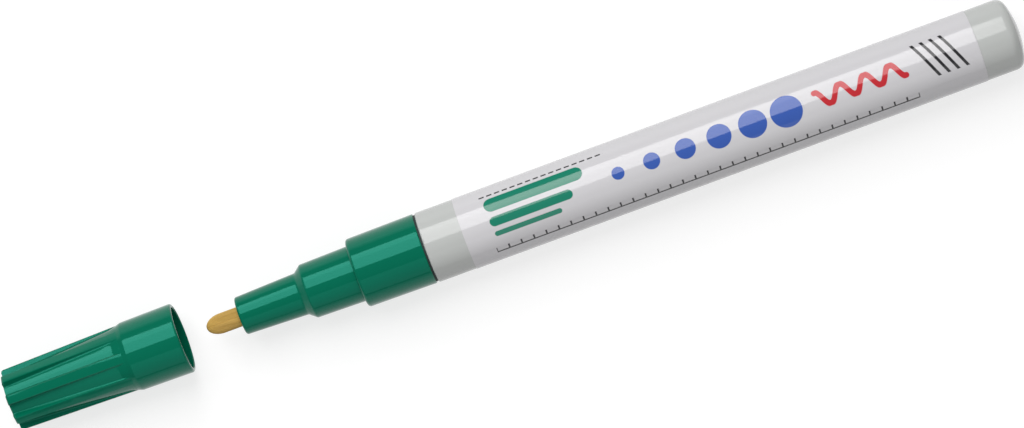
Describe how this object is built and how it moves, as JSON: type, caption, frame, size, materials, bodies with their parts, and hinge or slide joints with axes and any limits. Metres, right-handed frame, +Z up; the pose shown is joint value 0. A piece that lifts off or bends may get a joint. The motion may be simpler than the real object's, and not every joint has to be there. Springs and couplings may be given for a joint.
{
  "type": "paint marker",
  "caption": "Slim valve-action paint marker with a bullet nib in a stepped holder, a metal barrel with a film label, and a fluted cap pulled off in line.",
  "frame": {"origin": "on the surface the marker lies on, below the middle of its length from the cap's closed end to the barrel's dome", "axes": "+X along the marker's axis towards the barrel's closed end, with the nib and cap at -X; +Z up, with the label's face upwards"},
  "size_m": [0.1636, 0.0114, 0.0113],
  "materials": {
    "barrel_grey": "light grey gloss lacquer on drawn aluminium",
    "label_white": "white gloss film with a plain printed pattern",
    "gasket_black": "matt",
    "green_moulding": "gloss moulded",
    "nib_fibre": "pressed fibre",
    "valve_plastic": "natural moulded",
    "spring_steel": "drawn wire",
    "ball_steel": "polished",
    "seal_plastic": "thin natural moulding"
  },
  "bodies": {
    "barrel": {"barrel_tube": "barrel_grey", "label_film": "label_white", "barrel_gasket": "gasket_black", "front_holder": "green_moulding", "valve_seat": "valve_plastic", "valve_spring": "spring_steel", "spring_retainer": "valve_plastic"},
    "nib": {"nib": "nib_fibre", "valve_stem": "valve_plastic"},
    "ball": {"mixing_ball": "ball_steel"},
    "cap": {"cap_shell": "green_moulding", "cap_inner_seal": "seal_plastic"}
  },
  "joints": [
    {"name": "cap_slide", "type": "slide", "parent": "barrel", "child": "cap", "axis": [1, 0, 0], "range_m": [0, 0.02825]},
    {"name": "nib_press", "type": "slide", "parent": "barrel", "child": "nib", "axis": [1, 0, 0], "range_m": [0, 0.002], "stiffness_N_per_m": 600, "springref_m": -0.004, "deforming": ["valve_spring"]},
    {"name": "ball_roll", "type": "slide", "parent": "barrel", "child": "ball", "axis": [1, 0, 0], "range_m": [-0.04495, 0.03628]}
  ]
}
